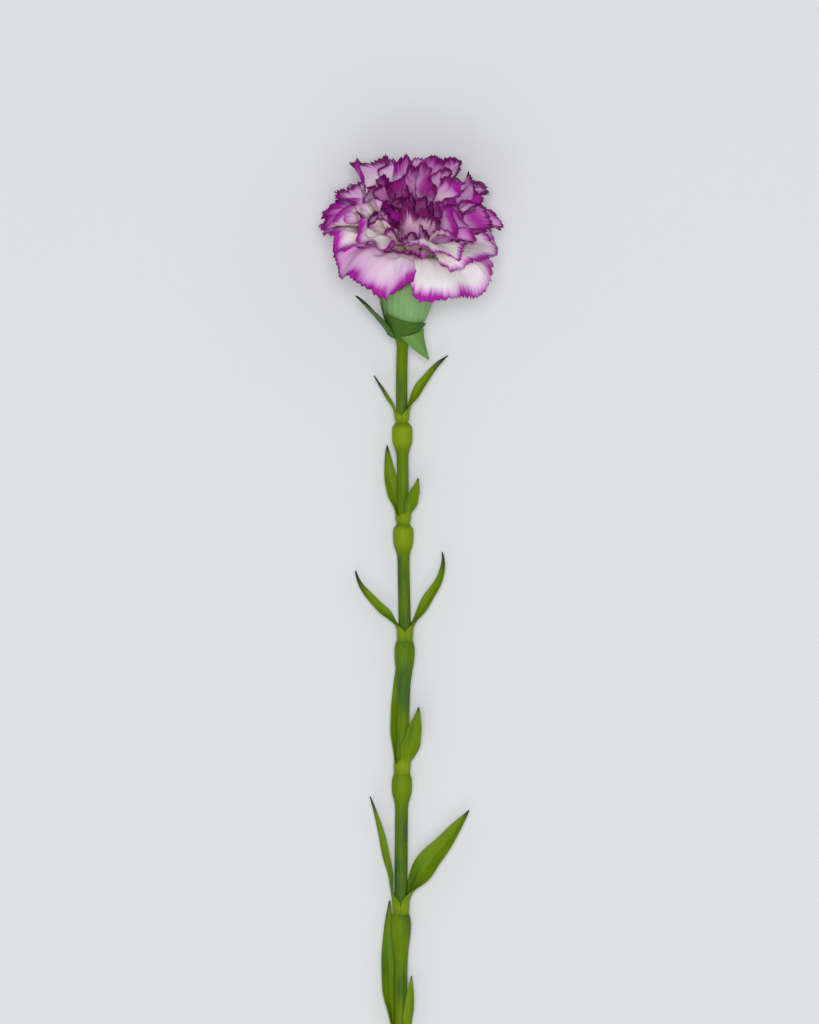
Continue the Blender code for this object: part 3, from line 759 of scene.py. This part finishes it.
def build_leaf_pair(index, pair, material):
    """Both leaves of a pair as one piece, each with its half of the sheath."""
    turn, first, second = pair
    below = NODE_DISTANCES[index] * MM
    points = np.array([
        leaf_points(first, math.radians(turn), below),
        leaf_points(second, math.radians(turn + 180), below),
    ])
    numbers = np.arange(2 * LEAF_ROWS * LEAF_COLUMNS).reshape(2, LEAF_ROWS, LEAF_COLUMNS)
    name = f"leaf_pair_{index + 1}"
    mesh = new_mesh(f"{name}_fine", points, grid_faces(numbers[0]) + grid_faces(numbers[1]))
    colour_leaf_pair(mesh, index, (first, second))
    axes = stem_frame(below - NODE_HALF_LENGTH, below + NODE_HALF_LENGTH)
    matrix = Matrix(axes).transposed().to_4x4()
    matrix.translation = stem_axis(below)
    piece = add_piece(mesh, (material,), name, matrix)
    thicken(piece, LEAF_THICKNESS, -1.0)


# ---- calyx and bracts

def calyx_radius(height):
    heights, radii = np.array(CALYX_OUTLINE).T * MM
    fine = np.linspace(heights[0], heights[-1], OUTLINE_SAMPLES)
    padded = np.pad(np.interp(fine, heights, radii), OUTLINE_ROUNDING, mode="edge")
    span = 2 * OUTLINE_ROUNDING + 1
    rounded = np.convolve(padded, np.ones(span) / span, "valid")
    return np.interp(height, fine, rounded)


def build_calyx(material):
    azimuths = np.linspace(0.0, math.tau, CALYX_COLUMNS, endpoint=False)
    ups = np.linspace(0.0, 1.0, CALYX_ROWS)
    up, azimuth = np.meshgrid(ups, azimuths, indexing="ij")
    tooth = np.abs(np.cos(azimuth * TOOTH_COUNT / 2)) ** TOOTH_SHAPE
    upper_edge = CALYX_RIM - TOOTH_NOTCH + (TOOTH_LENGTH + TOOTH_NOTCH) * tooth
    height = mix(CALYX_OUTLINE[0][0] * MM, upper_edge, up)
    ribs = CALYX_RIB_HEIGHT * np.cos(azimuth * CALYX_RIB_COUNT)
    ribs = ribs + CALYX_FOLD_HEIGHT * np.cos(azimuth * TOOTH_COUNT)
    radius = calyx_radius(height) + ribs * smooth(up * CALYX_RIB_GROWTH)
    mesh = grid_mesh("calyx_fine", around(radius, azimuth, height), closed=True)
    on_tooth = smooth(tooth * TOOTH_TIP_GAIN - TOOTH_TIP_LOSS)
    pale = CALYX_PALENESS * rise(height, CALYX_PALE_START, CALYX_PALE_RISE)
    brown = rise(up, *TOOTH_TIP) * on_tooth * TOOTH_TIP_BROWN
    sheet = (azimuth * CALYX_SHEET_RADIUS * MM, height, CALYX_SEED)
    describe(mesh, up.shape, sheet, pale=pale, tip=brown)
    piece = add_piece(mesh, (material,), "calyx", head_matrix())
    thicken(piece, CALYX_WALL, 1.0)


def finish_bract(node, points, sheet, brown, material):
    """Colour, place and thicken a bract, whose sheet is (way up, way across, length, width, seed)."""
    up, side, length, width, seed = sheet
    mesh = grid_mesh(f"{node}_fine", points)
    pale = KEEL_PALENESS * np.exp(-(side / KEEL_PALE_WIDTH) ** 2)
    tip = rise(up, *BRACT_TIP) * brown
    describe(mesh, up.shape, (side * width, up * length, seed), pale=pale, tip=tip)
    piece = add_piece(mesh, (material,), node, head_matrix())
    thicken(piece, BRACT_THICKNESS, 1.0)


def build_bract(bract, seed, material):
    name, middle, half_width, base, tip, left_lift, right_lift, slant, taper, tip_width, gap = bract
    up, side = grid_ups_sides(*BRACT_GRID)
    up = 1.0 - (1.0 - up) ** BRACT_ROW_CROWDING
    height = (mix(base, tip, up) - slant * side * up) * MM
    narrowing = mix(tip_width, 1.0, np.sqrt(np.maximum(1.0 - up ** taper, 0.0)))
    angle = np.radians(middle + half_width * side * narrowing)
    brown = BRACT_BROWN if left_lift > right_lift else 0.0
    keel = KEEL_HEIGHT * np.exp(-(side / KEEL_WIDTH) ** 2)
    curl = CURL_HEIGHT * np.abs(side) ** CURL_SHAPE * up
    lift = mix(left_lift, right_lift, (1.0 + side * narrowing) / 2) * MM * up ** BRACT_LIFT_SHAPE
    radius = calyx_radius(height) + CALYX_WALL + gap * MM + lift + keel + curl
    sheet = (up, side, (tip - base) * MM, BRACT_SHEET_WIDTH, seed)
    finish_bract(name, around(radius, angle, height), sheet, brown, material)


def build_hanging_bract(material):
    """The bract that has folded down over the front of the calyx's base."""
    up, side = grid_ups_sides(*HANGING_GRID)
    base_height = HANGING_HEIGHTS[0] + HANGING_SLOPE * side
    base_radius = calyx_radius(base_height) + CALYX_WALL + HANGING_CLEARANCE
    half_width = mix(*HANGING_HALF_WIDTHS, up ** HANGING_NARROWING)
    azimuth = np.radians(mix(*HANGING_AZIMUTHS, up) + side * half_width)
    fold = HANGING_FOLD * (1.0 - side ** 2) * np.sin(up * math.pi)
    radius = mix(base_radius, HANGING_TIP_RADIUS, up) + fold
    height = mix(base_height, HANGING_HEIGHTS[1], up)
    length = HANGING_HEIGHTS[0] - HANGING_HEIGHTS[1]
    sheet = (up, side, length, HANGING_SHEET_WIDTH, HANGING_SEED)
    finish_bract("bract_hanging", around(radius, azimuth, height), sheet, HANGING_BROWN, material)


# ---- petals

def petal_plan(index):
    """Level, azimuth and spread in degrees, and length of the limb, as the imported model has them."""
    level = (index / (PETAL_COUNT - 1)) ** LEVEL_SHAPE
    azimuth = LAST_AZIMUTH + GOLDEN_ANGLE * (PETAL_COUNT - 1 - index)
    opening = float(smooth(level / HEART_SHARE))
    tilt = LIMB_TILT * math.sin(math.radians(azimuth)) * (1.0 - level ** TILT_FADE)
    limb = mix(*LIMB_LENGTHS, opening) + tilt + LIMB_CHANGES.get(index, 0.0) * MM
    return level, azimuth, mix(*SPREADS, opening), limb


def meridian_tables():
    """Radius and height of every level at every run of the stacking grid."""
    levels = np.linspace(0.0, LEVEL_LIMIT, LEVEL_CELLS)[:, None]
    runs = np.arange(RUN_CELLS)[None, :] * RUN_STEP
    mouth = mix(*CLAW_MOUTH_RADII, levels)
    claw_lean = np.arctan((mouth - mix(*CLAW_BASE_RADII, levels)) / CLAW_LENGTH)
    full_lean = mix(LEAN_HEART, LEAN_OUTER, levels ** LEAN_GROWTH)
    leans = claw_lean + (full_lean - claw_lean) * runs / LEAN_RUN
    steps = np.full(RUN_CELLS, RUN_STEP)
    steps[0] = 0.0
    radii = mouth + np.cumsum(np.sin(leans) * steps, axis=1)
    heights = CLAW_LENGTH * np.cos(claw_lean) + np.cumsum(np.cos(leans) * steps, axis=1)
    return radii, heights


RADII, HEIGHTS = meridian_tables()


def read_table(table, row, column, wraps):
    """Read a table between its cells; rows may wrap round."""
    row_count, column_count = table.shape
    column = np.clip(column, 0.0, column_count - LAST_CELL)
    if not wraps:
        row = np.clip(row, 0.0, row_count - LAST_CELL)
    low_row, low_column = np.floor(row).astype(int), np.floor(column).astype(int)
    row_share, column_share = row - low_row, column - low_column
    high_row = (low_row + 1) % row_count if wraps else low_row + 1
    low_row = low_row % row_count
    near = mix(table[low_row, low_column], table[low_row, low_column + 1], column_share)
    far = mix(table[high_row, low_column], table[high_row, low_column + 1], column_share)
    return mix(near, far, row_share)


def on_level(table, level, run):
    return read_table(table, level / LEVEL_LIMIT * (LEVEL_CELLS - 1), run / RUN_STEP, False)


def meridian(level, run):
    return on_level(RADII, level, run), on_level(HEIGHTS, level, run)


def widen(table, reach, combine):
    """Combine each cell with its neighbours, round the head and along the run."""
    shifted = [np.roll(table, step, axis=0) for step in range(-reach, reach + 1)]
    table = combine(shifted, axis=0)
    padded = np.pad(table, ((0, 0), (reach, reach)), mode="edge")
    shifted = [padded[:, step:step + RUN_CELLS] for step in range(2 * reach + 1)]
    return combine(shifted, axis=0)


def petal_ruffle(generator, index, level, away, limb, run):
    """How far a petal waves outwards of its plain surface, growing towards its rim."""
    rim_radius = float(on_level(RADII, np.array(level), np.array(limb)))
    across = np.radians(away) * rim_radius
    back = run - limb
    ruffle = np.zeros_like(across)
    height_share, length_share = RUFFLE_CHANGES.get(index, (1.0, 1.0))
    for share, stretch in RUFFLE_WAVES:
        heading = generator.uniform(-1.0, 1.0) * np.interp(level, RUFFLE_LEVELS, RUFFLE_HEADINGS)
        length = np.interp(level, RUFFLE_LEVELS, RUFFLE_LENGTHS) * MM * stretch * length_share
        length *= generator.uniform(*RUFFLE_CHANCES)
        phase = generator.uniform(0.0, math.tau)
        way = across * math.cos(heading) + back * math.sin(heading)
        ruffle = ruffle + share * np.tanh(RUFFLE_FLATNESS * np.sin(math.tau * way / length + phase))
    growth = np.clip(run / limb, 0.0, RUFFLE_RUN_LIMIT) ** np.interp(level, RUFFLE_LEVELS, RUFFLE_GROWTHS)
    return ruffle * np.interp(level, RUFFLE_LEVELS, RUFFLE_HEIGHTS) * MM * growth * height_share


def stack_petals():
    """The level of each petal over the grid, each petal kept outside those nearer the heart."""
    azimuths = np.arange(AZIMUTH_CELLS)[:, None] * 360.0 / AZIMUTH_CELLS
    runs = np.arange(RUN_CELLS)[None, :] * RUN_STEP
    taken = np.full((AZIMUTH_CELLS, RUN_CELLS), -1.0)
    stacked = []
    for index in range(PETAL_COUNT):
        level, azimuth, spread, limb = petal_plan(index)
        generator = np.random.default_rng(RUFFLE_SEED + index)
        away = (azimuths - azimuth + 180.0) % 360.0 - 180.0 + 0.0 * runs
        along = runs + 0.0 * azimuths
        change = np.subtract(meridian(level + LEVEL_STEP, along), meridian(level, along))
        spacing = np.hypot(*change) / LEVEL_STEP
        ruffle = petal_ruffle(generator, index, level, away, limb, along)
        wanted = level - LEVEL_DROPS.get(index, 0.0) + ruffle / spacing
        floor = widen(widen(taken, NEAR_CELLS, np.max), NEAR_CELLS, np.mean) + PETAL_GAP / spacing
        petal = np.maximum(wanted, floor)
        reach = limb + abs(LIMB_SLANTS.get(index, 0.0)) * MM + RIM_MARGIN
        left, right = PETAL_SPANS.get(index, (-1.0, 1.0))
        across = (away >= left * spread - SIDE_MARGIN) & (away <= right * spread + SIDE_MARGIN)
        inside = across & (along <= reach)
        taken = np.where(inside, np.maximum(taken, petal), taken)
        stacked.append(petal)
    return stacked


def fringe_columns(generator, rim_arc):
    """Places across a petal, -1 to 1, and the depth of its teeth there."""
    places, depths, at, valley = [0.0], [0.0], 0.0, False
    while at < rim_arc:
        width = generator.uniform(*TOOTH_WIDTHS)
        depth = generator.uniform(*(TOOTH_DEPTHS if valley else FRINGE_TIP_DEPTHS))
        places += [at + width / 2, at + width]
        depths += [(depths[-1] + depth) / 2, depth]
        at += width
        valley = not valley
    return np.array(places) / at * 2.0 - 1.0, np.array(depths)


def warp(points):
    """Bend the whole bloom a little, more away from the calyx mouth, so that no two petals look alike."""
    generator = np.random.default_rng(WARP_SEED)
    away = np.linalg.norm(points - np.array([0, 0, WARP_CENTRE]), axis=-1)
    strength = rise(away, WARP_START, WARP_RISE)
    moved = points.copy()
    for wavelength, height in WARPS:
        for axis in range(3):
            way = generator.normal(size=3)
            way /= np.linalg.norm(way)
            phase = generator.uniform(0.0, math.tau)
            wave = np.sin(points @ way * math.tau / wavelength + phase)
            moved[..., axis] += height * wave * strength
    return moved


def above_table(points, matrix):
    """Ease what would reach the table up from it, without folding the petals over."""
    turn = np.array(matrix.to_3x3())
    placed = points @ turn.T + np.array(matrix.translation)
    height = placed[..., 2]
    room = EASE_START - EASE_REST
    eased = EASE_REST + room * np.exp((height - EASE_START) / room)
    placed[..., 2] = np.where(height < EASE_START, eased, height)
    return placed


# Colours of single petals, by index from the heart: (margin and fringe in mm, mauve on the left and on
# the right, peach). The mauve of 41 is partly its own tint and partly painted shade. The mauve of 17 is held
# low, lighter than its own tone, as painted light. 5, 7, 8, 10 and 14, deep in the heart, are magenta all
# over: partly their own colour and partly painted shade.
PETAL_TINTS_AND_SHADES = {
    43: (4.5, 0.7, 0, 0, 0), 41: (8.5, 1.2, 1, 0.3, 0), 40: (5, 0.6, 0, 0, 0), 39: (5, 0.8, 0, 0, 0),
    38: (5, 0.3, 0, 0, 0.5), 36: (6, 0.5, 0.1, 0, 0.1), 35: (3, 0.8, 0, 0.1, 0.1),
    33: (5, 1.8, 0.1, 0, 0.3), 32: (9, 1.6, 0.2, 0.2, 0), 31: (8, 2, 0, 0, 0), 30: (2.5, 0.3, 0, 0, 0.35),
    28: (5, 0.5, 0, 0, 0.45), 27: (20, 2.6, 0.9, 0.9, 0), 25: (6, 4, 0, 0.8, 0.4),
    24: (7, 3.2, 0.3, 0.3, 0), 23: (7.5, 2.4, 0, 0, 0.15), 22: (8, 1.2, 0, 1, 0.6),
    21: (6, 1.6, 0.5, 0.7, 0), 20: (3.5, 1.8, 0, 0, 0.6), 19: (16, 2.6, 1, 1, 0), 18: (7, 3, 0.3, 0.2, 0),
    17: (5, 8, 0.55, 0.55, 0), 16: (6, 3.4, 0.35, 0.4, 0), 15: (5, 1.8, 0.1, 0.5, 0.5),
    14: (18, 2, 1, 1, 0), 13: (6, 3, 0.3, 0.3, 0), 11: (5, 2.4, 0.45, 0.45, 0), 10: (18, 3, 0.7, 0.8, 0),
    8: (12, 3, 0.8, 0.8, 0), 7: (26, 3, 1, 1, 0), 5: (26, 3, 1, 1, 0),
}
# How far the throat's ochre is shifted up single petals that are seen deep between the others, in mm.
THROAT_SHIFTS = {25: 6, 33: 7, 38: 8}
THROAT_FREE = (30 * MM, 6 * MM)  # how much the ochre is held back in the heart and in the outermost petals
THROAT_HEART = 2  # how fast the first fades with the level
THROAT_OUTER = (0.85, 0.1)  # level at which the second starts, and its reach
MAUVE_EDGE = 0.6  # half the share of a petal over which mauve goes from left to right
# Tints of all other petals, in the heart and outside: margin and fringe in mm, mauve as a share.
OTHER_MARGINS = (14, 6)
OTHER_FRINGES = (3.2, 1)
OTHER_MAUVES = (0.95, 0.1)
MARGIN_FADE = 1.6
MAUVE_FADE = 1.4
FRINGE_FADE = 0.7
MARGIN_CHANCES = (0.45, 1.3)  # range of a factor on the margin, which varies from petal to petal
MARGIN_TURN = 0.618


def petal_tint(index, level):
    if index in PETAL_TINTS_AND_SHADES:
        return PETAL_TINTS_AND_SHADES[index]
    margin = mix(*OTHER_MARGINS, float(smooth(level * MARGIN_FADE)))
    margin *= mix(*MARGIN_CHANCES, (index * MARGIN_TURN) % 1.0)
    mauve = mix(*OTHER_MAUVES, float(smooth(level * MAUVE_FADE)))
    fringe = mix(*OTHER_FRINGES, float(smooth(level / FRINGE_FADE)))
    return margin, fringe, mauve, mauve, 0.0


def in_heart(level):
    """1 in the middle of the heart, eased to 0 at its edge."""
    return 1.0 - float(smooth(level / HEART_EDGE))


def limb_grid(index, level, azimuth, spread, limb):
    """Ways across a petal, and the run and the azimuth in degrees of each point of its limb."""
    generator = np.random.default_rng(FRINGE_SEED + index)
    rim_arc = 2.0 * math.radians(spread) * float(on_level(RADII, np.array(level), np.array(limb)))
    side, teeth = fringe_columns(generator, max(rim_arc, LEAST_RIM_ARC))
    ups = (1.0 - (1.0 - np.linspace(0.0, 1.0, LIMB_ROWS)) ** LIMB_ROW_CROWDING)[:, None]
    lobe_turns = side * rim_arc / 2 / mix(*LOBE_LENGTHS, level)
    lobes = mix(*LOBE_DEPTHS, level) * (0.5 + 0.5 * np.sin(lobe_turns * math.tau + index * LOBE_TURN))
    lobe_share = rise(ups, LOBE_START, 1.0 - LOBE_START)
    tooth_share = rise(ups, FRINGE_START, 1.0 - FRINGE_START)
    slant = LIMB_SLANTS.get(index, 0.0) * MM
    run = ups * limb * (1.0 - CORNER_DROP * np.abs(side) ** CORNER_SHAPE * ups)
    run = run + slant * side * ups ** 2 - lobes * lobe_share - teeth * tooth_share
    run = np.maximum(run, 0.0)
    mouth = mix(*CLAW_MOUTH_RADII, level)
    claw_half = math.degrees(min(CLAW_HALF_WIDTH / mouth, math.radians(CLAW_HALF_ANGLE)))
    half = mix(claw_half, spread, smooth(run / (limb * WIDENING_RUN)))
    half = half * (1.0 - SIDE_WAVE * (0.5 + 0.5 * np.sin(ups * SIDE_WAVES + index * side)))
    left, right = PETAL_SPANS.get(index, (-1.0, 1.0))
    across = np.interp(side, (-1.0, 0.0, 1.0), (left, 0.0, right))
    return side, run, azimuth + across * half


def colour_petal(mesh, index, level, limb, side, run, sheet):
    """Store the petal's tints and how far each of its points is from the rim and from the calyx mouth."""
    margin, fringe, mauve_left, mauve_right, peach = petal_tint(index, level)
    claw = np.zeros((CLAW_ROWS, len(side)))
    throat_free = THROAT_FREE[0] * (1 - float(smooth(level * THROAT_HEART)))
    throat_free += THROAT_FREE[1] * float(rise(level, *THROAT_OUTER))
    throat_free -= THROAT_SHIFTS.get(index, 0.0) * MM
    describe(
        mesh, (CLAW_ROWS + LIMB_ROWS, len(side)), sheet,
        rim=np.vstack([claw + limb, run[-1] - run]),
        run=np.vstack([claw, run]) + throat_free,
        margin=margin * MM,
        mauve=mix(mauve_left, mauve_right, smooth((side + MAUVE_EDGE) / (2 * MAUVE_EDGE))),
        # the heart's plum, partly painted shade
        plum=HEART_PLUM_AND_SHADE * in_heart(level),
        peach=peach,
        fringe=fringe * MM,
    )


def build_petal(index, level_table, back, face):
    level, azimuth, spread, limb = petal_plan(index)
    own_trim = 0.5 + 0.5 * math.cos(index * TRIM_TURN)
    limb -= HEART_TRIM * own_trim * in_heart(level)
    side, run, angle = limb_grid(index, level, azimuth, spread, limb)
    own = read_table(level_table, (angle % 360.0) * AZIMUTH_CELLS / 360.0, run / RUN_STEP, True)
    radius, height = meridian(own, run)
    claw_ups = np.linspace(0.0, 1.0, CLAW_ROWS, endpoint=False)[:, None]
    claw_radius = mix(mix(*CLAW_BASE_RADII, level), radius[0], claw_ups)
    claw_height = height[0] * claw_ups
    claw_spread = np.degrees(np.minimum(CLAW_HALF_WIDTH / claw_radius, math.radians(CLAW_HALF_ANGLE)))
    angle = np.radians(np.vstack([azimuth + side * claw_spread, angle]))
    radius, height = np.vstack([claw_radius, radius]), np.vstack([claw_height, height])
    points = around(radius, angle, RECEPTACLE_HEIGHT + SEAT_GAP + height)
    name = f"petal_{index + 1:02d}"
    mesh = grid_mesh(f"{name}_fine", above_table(warp(points), head_matrix()))
    across = radius * (angle - math.radians(azimuth))
    along = np.vstack([claw_height - CLAW_LENGTH, run])
    colour_petal(mesh, index, level, limb, side, run, (across, along, index))
    piece = add_piece(mesh, (back, face), name)
    thicken(piece, PETAL_THICKNESS, 0.0, 1)


# ---- stage

FLOOR_REACH = 3.0
FLOOR_DROP = 0.2 * MM
SKY_COLOUR = (0.95, 0.975, 1, 1)
SKY_STRENGTH = 0.32
LIGHTS = (  # (name, place, target, size, power, colour)
    ("overhead", (0, 0.15, 3.2), (0, 0.15, 0), 0.8, 50, (1, 0.99, 0.985)),
    ("key", (1.1, 0.4, 1.9), (0, 0.1, 0), 1.6, 2.6, (1, 0.99, 0.97)),
    ("fill", (-0.2, -0.9, 1.9), (0, 0.15, 0), 1.4, 9, (1, 1, 1)),
)


def build_stage():
    near, far = -FLOOR_REACH, FLOOR_REACH
    corners = np.array([[(near, near, 0.0), (far, near, 0.0)], [(near, far, 0.0), (far, far, 0.0)]])
    mesh = grid_mesh("floor", corners)
    mesh.materials.append(floor_material())
    floor = new_object("floor", mesh)
    floor.location.z = -FLOOR_DROP


def add_light(name, place, target, size, power, colour):
    data = bpy.data.lights.new(name, "AREA")
    data.shape = "DISK"
    data.size = size
    data.energy = power
    data.color = colour
    light = new_object(name, data)
    light.location = place
    light.rotation_euler = (Vector(target) - Vector(place)).to_track_quat("-Z", "Y").to_euler()


def build_lights():
    world = bpy.data.worlds.new("studio")
    bpy.context.scene.world = world
    world.use_nodes = True
    background = world.node_tree.nodes["Background"]
    background.inputs["Color"].default_value = SKY_COLOUR
    background.inputs["Strength"].default_value = SKY_STRENGTH
    for light in LIGHTS:
        add_light(*light)


VIEW_CENTRE = Vector((-1.14, 64.9, 0)) * MM
VIEW_HEIGHT = 387 * MM  # stretch of the table that the picture's height shows
CAMERA_DISTANCE = 2.6
SENSOR = 36  # mm
CLIP_END = 20


def build_camera():
    data = bpy.data.cameras.new("camera")
    data.sensor_width = SENSOR
    data.lens = SENSOR * CAMERA_DISTANCE / VIEW_HEIGHT
    data.clip_end = CLIP_END
    camera = new_object("camera", data)
    camera.location = VIEW_CENTRE + Vector((0.0, 0.0, CAMERA_DISTANCE))
    bpy.context.scene.camera = camera


def main():
    greens = {name: green_material(name, *colours, roughness) for name, colours, roughness in GREENS}
    petal_back = petal_material("petal_back", PETAL_CREAM, 0.8)
    petal_face = petal_material("petal_face", PETAL_WHITE, 1.0)

    build_stem(greens["stem_green"])
    for index, pair in enumerate(LEAF_PAIRS):
        build_leaf_pair(index, pair, greens["leaf_green"])
    build_calyx(greens["calyx_green"])
    for number, bract in enumerate(BRACTS):
        build_bract(bract, BRACT_SEED + number, greens["bract_green"])
    build_hanging_bract(greens["hanging_green"])
    for index, level_table in enumerate(stack_petals()):
        build_petal(index, level_table, petal_back, petal_face)
    build_stage()
    build_lights()
    build_camera()
    bpy.context.scene.view_settings.view_transform = "Standard"


main()
